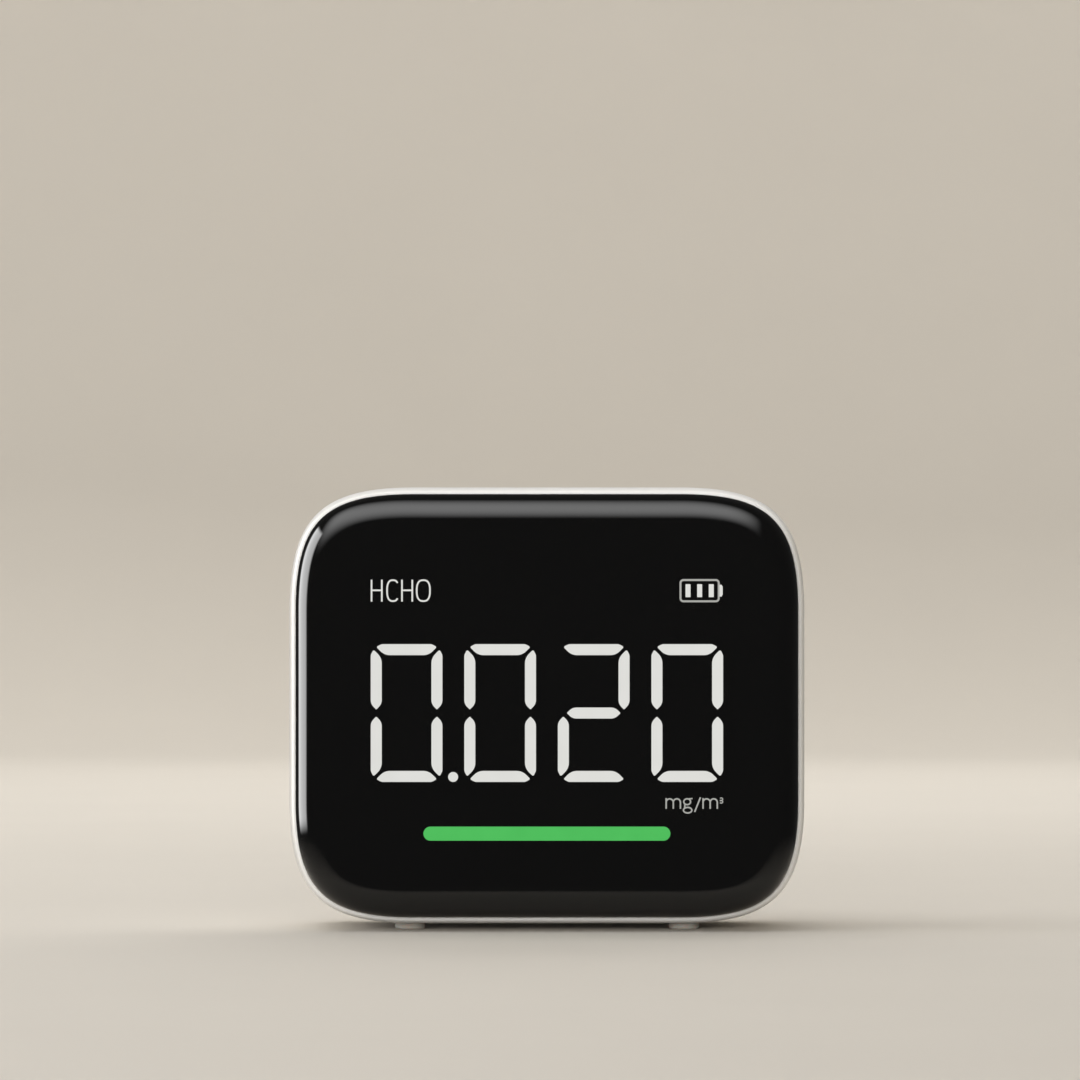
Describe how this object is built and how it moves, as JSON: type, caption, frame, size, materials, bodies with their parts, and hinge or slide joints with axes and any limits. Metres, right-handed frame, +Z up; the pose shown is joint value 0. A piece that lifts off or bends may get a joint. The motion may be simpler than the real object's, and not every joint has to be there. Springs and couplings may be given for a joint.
{
  "type": "air quality monitor",
  "caption": "Desktop formaldehyde monitor: rounded white housing with a full glossy black seven-segment front, small feet, and a vented back with a charging socket and a power button.",
  "frame": {"origin": "on the table, under the middle of the housing: the centre of the foot bottoms' plane", "axes": "+Z up, display faces -Y, +X to the viewer's right when looking at the display"},
  "size_m": [0.078, 0.038, 0.067],
  "materials": {
    "white_housing": "fine satin moulded ABS",
    "smoked_lens": "polished smoked acrylic",
    "black_ink": "matt printed ink on clear film",
    "black_tape": "acrylic foam tape",
    "frame_black": "matt moulded ABS",
    "light_block_white": "matt white polycarbonate",
    "lit_diffuser": "milky diffuser, lit",
    "unlit_diffuser": "smoke-tinted diffuser, unlit",
    "label_diffuser": "milky diffuser, dimly lit",
    "green_diffuser": "green diffuser, lit",
    "board_green": "glass-epoxy board with green solder mask",
    "chip_black": "moulded epoxy",
    "lamp_white": "phosphor-filled silicone",
    "connector_cream": "moulded nylon",
    "ribbon_white": "laminated polyester",
    "chassis_grey": "matt moulded ABS",
    "screw_steel": "nickel-plated steel",
    "socket_steel": "tin-plated stainless steel",
    "contact_gold": "gold-flashed copper alloy",
    "crystal_steel": "nickel-plated can",
    "ferrite_grey": "sintered ferrite",
    "capacitor_tan": "sintered ceramic",
    "switch_cream": "moulded nylon",
    "cell_foil": "laminated aluminium pouch",
    "foam_tape": "polyethylene foam tape",
    "wire_red": "soft PVC insulation",
    "wire_black": "soft PVC insulation",
    "sensor_white": "moulded polypropylene",
    "membrane_white": "expanded PTFE",
    "gasket_foam": "closed-cell foam",
    "mesh_black": "woven nylon",
    "foot_silicone": "translucent white silicone"
  },
  "bodies": {
    "housing": {"front_lens": "smoked_lens", "lens_adhesive": "black_tape", "mask_film": "black_ink", "light_block": "light_block_white", "digit_segments_lit": "lit_diffuser", "digit_segments_unlit": "unlit_diffuser", "decimal_point_diffuser": "lit_diffuser", "level_bar_diffuser": "green_diffuser", "substance_label_diffuser": "lit_diffuser", "battery_symbol_diffuser": "label_diffuser", "unit_label_diffuser": "label_diffuser", "display_board": "board_green", "display_leds": "lamp_white", "display_driver_chip": "chip_black", "display_ribbon_socket": "connector_cream", "display_screws": "screw_steel", "display_frame": "frame_black", "main_shell": "white_housing", "rear_cover": "white_housing", "vent_mesh": "mesh_black", "cover_screws": "screw_steel", "foot_front_left": "foot_silicone", "foot_front_right": "foot_silicone", "foot_rear_left": "foot_silicone", "foot_rear_right": "foot_silicone", "inner_chassis": "chassis_grey", "frame_screws": "screw_steel", "main_board": "board_green", "board_screws": "screw_steel", "controller_chip": "chip_black", "charger_chip": "chip_black", "power_inductor": "ferrite_grey", "clock_crystal": "crystal_steel", "capacitors": "capacitor_tan", "main_ribbon_socket": "connector_cream", "display_ribbon": "ribbon_white", "usb_socket": "socket_steel", "usb_tongue": "chip_black", "usb_contacts": "contact_gold", "switch_body": "chip_black", "battery_cell": "cell_foil", "battery_tape": "foam_tape", "battery_socket": "connector_cream", "battery_plug": "connector_cream", "battery_lead_positive": "wire_red", "battery_lead_negative": "wire_black", "sensor_board": "board_green", "formaldehyde_sensor": "sensor_white", "sensor_membrane": "membrane_white", "sensor_pins": "contact_gold", "sensor_gasket": "gasket_foam", "header_pins": "contact_gold", "header_block": "chip_black"},
    "button": {"power_button": "white_housing"},
    "switch": {"switch_plunger": "switch_cream"}
  },
  "joints": [
    {"name": "power_button_press", "type": "slide", "parent": "housing", "child": "button", "axis": [0, -1, 0], "range_m": [0, 0.0003], "stiffness_N_per_m": 4000},
    {"name": "switch_plunger_press", "type": "slide", "parent": "housing", "child": "switch", "axis": [0, -1, 0], "range_m": [0, 0.0003]}
  ],
  "couplings": [
    {"joint": "switch_plunger_press", "follows": "power_button_press", "ratio": 1}
  ]
}
